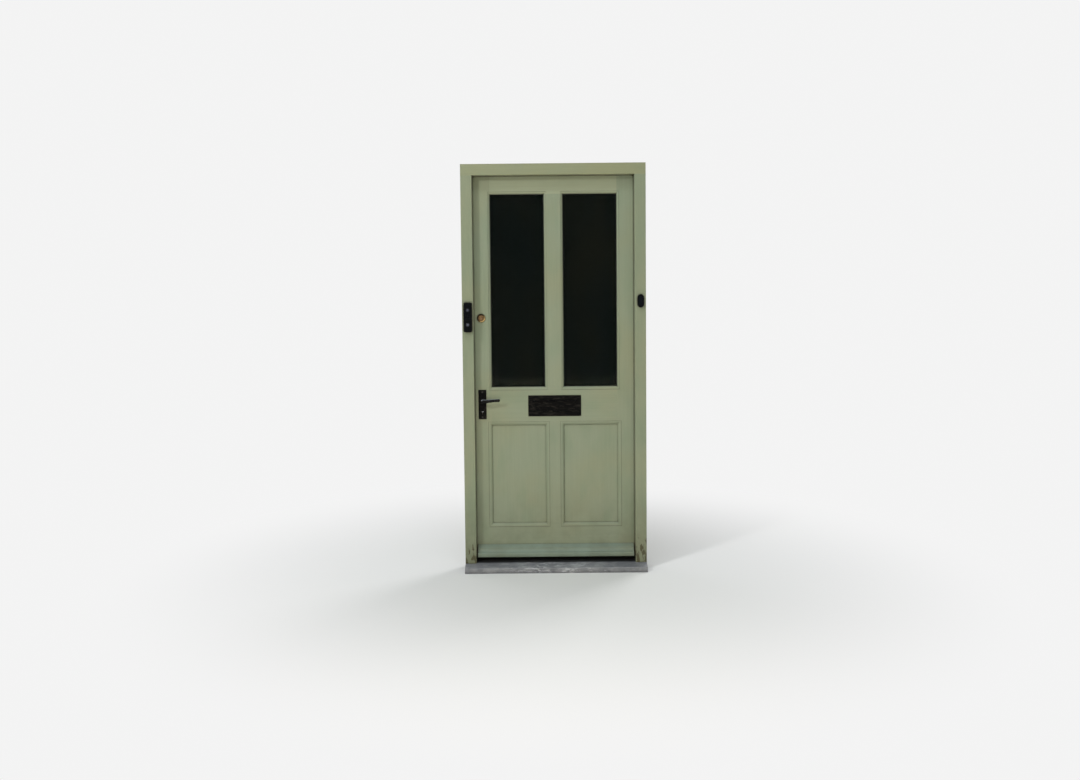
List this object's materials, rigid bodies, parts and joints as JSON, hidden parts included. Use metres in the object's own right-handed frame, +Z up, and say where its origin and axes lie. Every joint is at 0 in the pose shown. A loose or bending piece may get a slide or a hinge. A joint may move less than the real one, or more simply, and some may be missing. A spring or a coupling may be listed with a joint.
{
  "type": "half glazed entrance door",
  "caption": "Half glazed timber entrance door hung in its rebated frame on a sill, with lever lock, night latch, letter plate and weatherboard",
  "frame": {"origin": "underside of the sill, at the middle of the width, in the plane of the frame's outer face", "axes": "+X from the lock side to the hinge side, +Y from the street into the house, +Z up"},
  "size_m": [0.934, 0.203, 2.08],
  "materials": {
    "frame_paint": "sage green eggshell paint on softwood",
    "leaf_paint": "sage green eggshell paint on timber",
    "sill_paint": "dark grey paint, scuffed",
    "glass": "clear float glass over a dark room",
    "spacer": "satin",
    "seal": "matt black",
    "threshold": "black powder coat",
    "hinge_steel": "satin",
    "screw_steel": "satin",
    "lock_steel": "satin",
    "lock_brass": "plain",
    "black_iron": "black wax over a hammered skin",
    "cylinder_brass": "worn, tarnished",
    "latch_brass": "lacquered",
    "unit_plastic": "satin black",
    "button_plastic": "gloss black",
    "lens_glass": "gloss"
  },
  "bodies": {
    "frame": {"jamb_left": "frame_paint", "jamb_right": "frame_paint", "frame_head": "frame_paint", "sill": "sill_paint", "seal_left": "seal", "seal_right": "seal", "seal_head": "seal", "threshold_bar": "threshold", "threshold_lip": "seal", "hinge_flaps_frame": "hinge_steel", "hinge_pins": "hinge_steel", "frame_screws": "screw_steel", "lock_keep": "lock_steel", "night_latch_keep": "latch_brass", "entry_case": "unit_plastic", "entry_lens": "lens_glass", "bell_case": "unit_plastic"},
    "leaf": {"lock_stile": "leaf_paint", "hinge_stile": "leaf_paint", "top_rail": "leaf_paint", "lock_rail": "leaf_paint", "bottom_rail": "leaf_paint", "upper_muntin": "leaf_paint", "lower_muntin": "leaf_paint", "panel_left": "leaf_paint", "panel_right": "leaf_paint", "glazing_beads": "leaf_paint", "weatherboard": "leaf_paint", "panes_left": "glass", "panes_right": "glass", "spacer_bars": "spacer", "hinge_flaps_leaf": "hinge_steel", "leaf_screws": "screw_steel", "lock_case": "lock_steel", "lock_forend": "lock_steel", "lock_levers": "lock_brass", "outer_backplate": "black_iron", "inner_backplate": "black_iron", "letter_plate_outer": "black_iron", "letter_plate_inner": "black_iron", "letter_pins": "black_iron", "letter_bolts": "black_iron", "cylinder_ring": "cylinder_brass", "rim_cylinder": "cylinder_brass", "night_latch_case": "latch_brass", "night_latch_plate": "latch_brass"},
    "handle": {"outer_lever": "black_iron", "inner_lever": "black_iron", "spindle": "lock_steel", "follower": "lock_steel"},
    "latch": {"latch_bolt": "lock_steel"},
    "dead_bolt": {"dead_bolt": "lock_steel"},
    "knob": {"night_latch_knob": "latch_brass"},
    "night_bolt": {"night_latch_bolt": "latch_brass"},
    "snib": {"night_latch_snib": "latch_brass"},
    "cylinder_plug": {"cylinder_plug": "cylinder_brass"},
    "outer_flap": {"letter_flap_outer": "black_iron"},
    "inner_flap": {"letter_flap_inner": "black_iron"},
    "entry_button": {"entry_button": "button_plastic"},
    "bell_button": {"bell_button": "button_plastic"}
  },
  "joints": [
    {"name": "leaf_swing", "type": "hinge", "parent": "frame", "child": "leaf", "pos_m": [0.4205, 0.1, 1], "axis": [0, 0, -1], "range_deg": [0, 105]},
    {"name": "lever_turn", "type": "hinge", "parent": "leaf", "child": "handle", "pos_m": [-0.372, 0.072, 0.875], "axis": [0, 1, 0], "range_deg": [0, 45], "stiffness_Nm_per_rad": 0.6, "springref_deg": -22.92},
    {"name": "latch_slide", "type": "slide", "parent": "leaf", "child": "latch", "axis": [1, 0, 0], "range_m": [0, 0.0024]},
    {"name": "dead_bolt_slide", "type": "slide", "parent": "leaf", "child": "dead_bolt", "axis": [-1, 0, 0], "range_m": [0, 0.02]},
    {"name": "knob_turn", "type": "hinge", "parent": "leaf", "child": "knob", "pos_m": [-0.373, 0.072, 1.301], "axis": [0, 1, 0], "range_deg": [0, 60]},
    {"name": "night_bolt_slide", "type": "slide", "parent": "leaf", "child": "night_bolt", "axis": [-1, 0, 0], "range_m": [0, 0.014]},
    {"name": "snib_slide", "type": "slide", "parent": "leaf", "child": "snib", "axis": [0, 0, -1], "range_m": [0, 0.008]},
    {"name": "plug_turn", "type": "hinge", "parent": "leaf", "child": "cylinder_plug", "pos_m": [-0.373, 0.072, 1.301], "axis": [0, 1, 0], "range_deg": [0, 90]},
    {"name": "outer_flap_lift", "type": "hinge", "parent": "leaf", "child": "outer_flap", "pos_m": [0, 0.0421, 0.8725], "axis": [-1, 0, 0], "range_deg": [0, 85]},
    {"name": "inner_flap_lift", "type": "hinge", "parent": "leaf", "child": "inner_flap", "pos_m": [0, 0.1019, 0.8725], "axis": [1, 0, 0], "range_deg": [0, 85]},
    {"name": "entry_button_press", "type": "slide", "parent": "frame", "child": "entry_button", "axis": [0, 1, 0], "range_m": [0, 0.0012], "stiffness_N_per_m": 200, "springref_m": -0.002},
    {"name": "bell_button_press", "type": "slide", "parent": "frame", "child": "bell_button", "axis": [0, 1, 0], "range_m": [0, 0.0012], "stiffness_N_per_m": 200, "springref_m": -0.002}
  ],
  "couplings": [
    {"joint": "latch_slide", "follows": "lever_turn", "m_per_rad": 0.00305},
    {"joint": "night_bolt_slide", "follows": "knob_turn", "m_per_rad": 0.0133}
  ]
}
